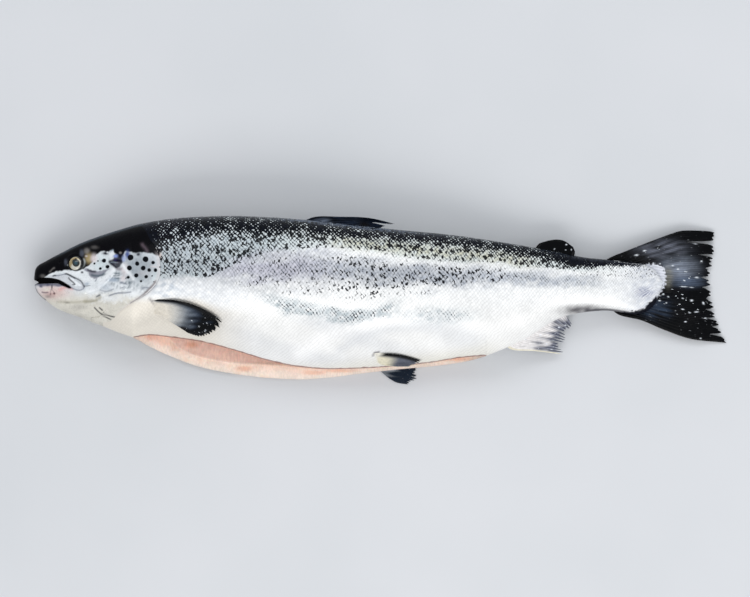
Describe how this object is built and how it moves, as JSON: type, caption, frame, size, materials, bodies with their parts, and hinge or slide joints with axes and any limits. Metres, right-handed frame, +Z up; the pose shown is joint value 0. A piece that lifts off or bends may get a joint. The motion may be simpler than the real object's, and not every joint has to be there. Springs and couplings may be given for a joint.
{
  "type": "whole gutted salmon",
  "caption": "Whole raw salmon, gutted through a long belly slit, lying on its right side with head, fins and tail on.",
  "frame": {"origin": "middle of the fish's box, on the surface that it lies on", "axes": "+X from the snout to the tail fin, +Y from the belly to the back, +Z up out of the left flank"},
  "size_m": [0.7208, 0.1754, 0.0834],
  "materials": {
    "skin": "wet silver scales, dark blue-black back",
    "flesh": "moist pale pink belly flesh",
    "fin": "wet blue-black fin skin",
    "eye": "clear wet eye with a gold ring"
  },
  "bodies": {
    "root": {"body": "skin", "flesh": "flesh", "eye_left": "eye", "eye_right": "eye", "dorsal_fin": "fin", "adipose_fin": "fin", "anal_fin": "fin", "caudal_fin": "fin", "pectoral_fin_left": "fin", "pelvic_fin_left": "fin", "pectoral_fin_right": "fin", "pelvic_fin_right": "fin"}
  },
  "joints": []
}
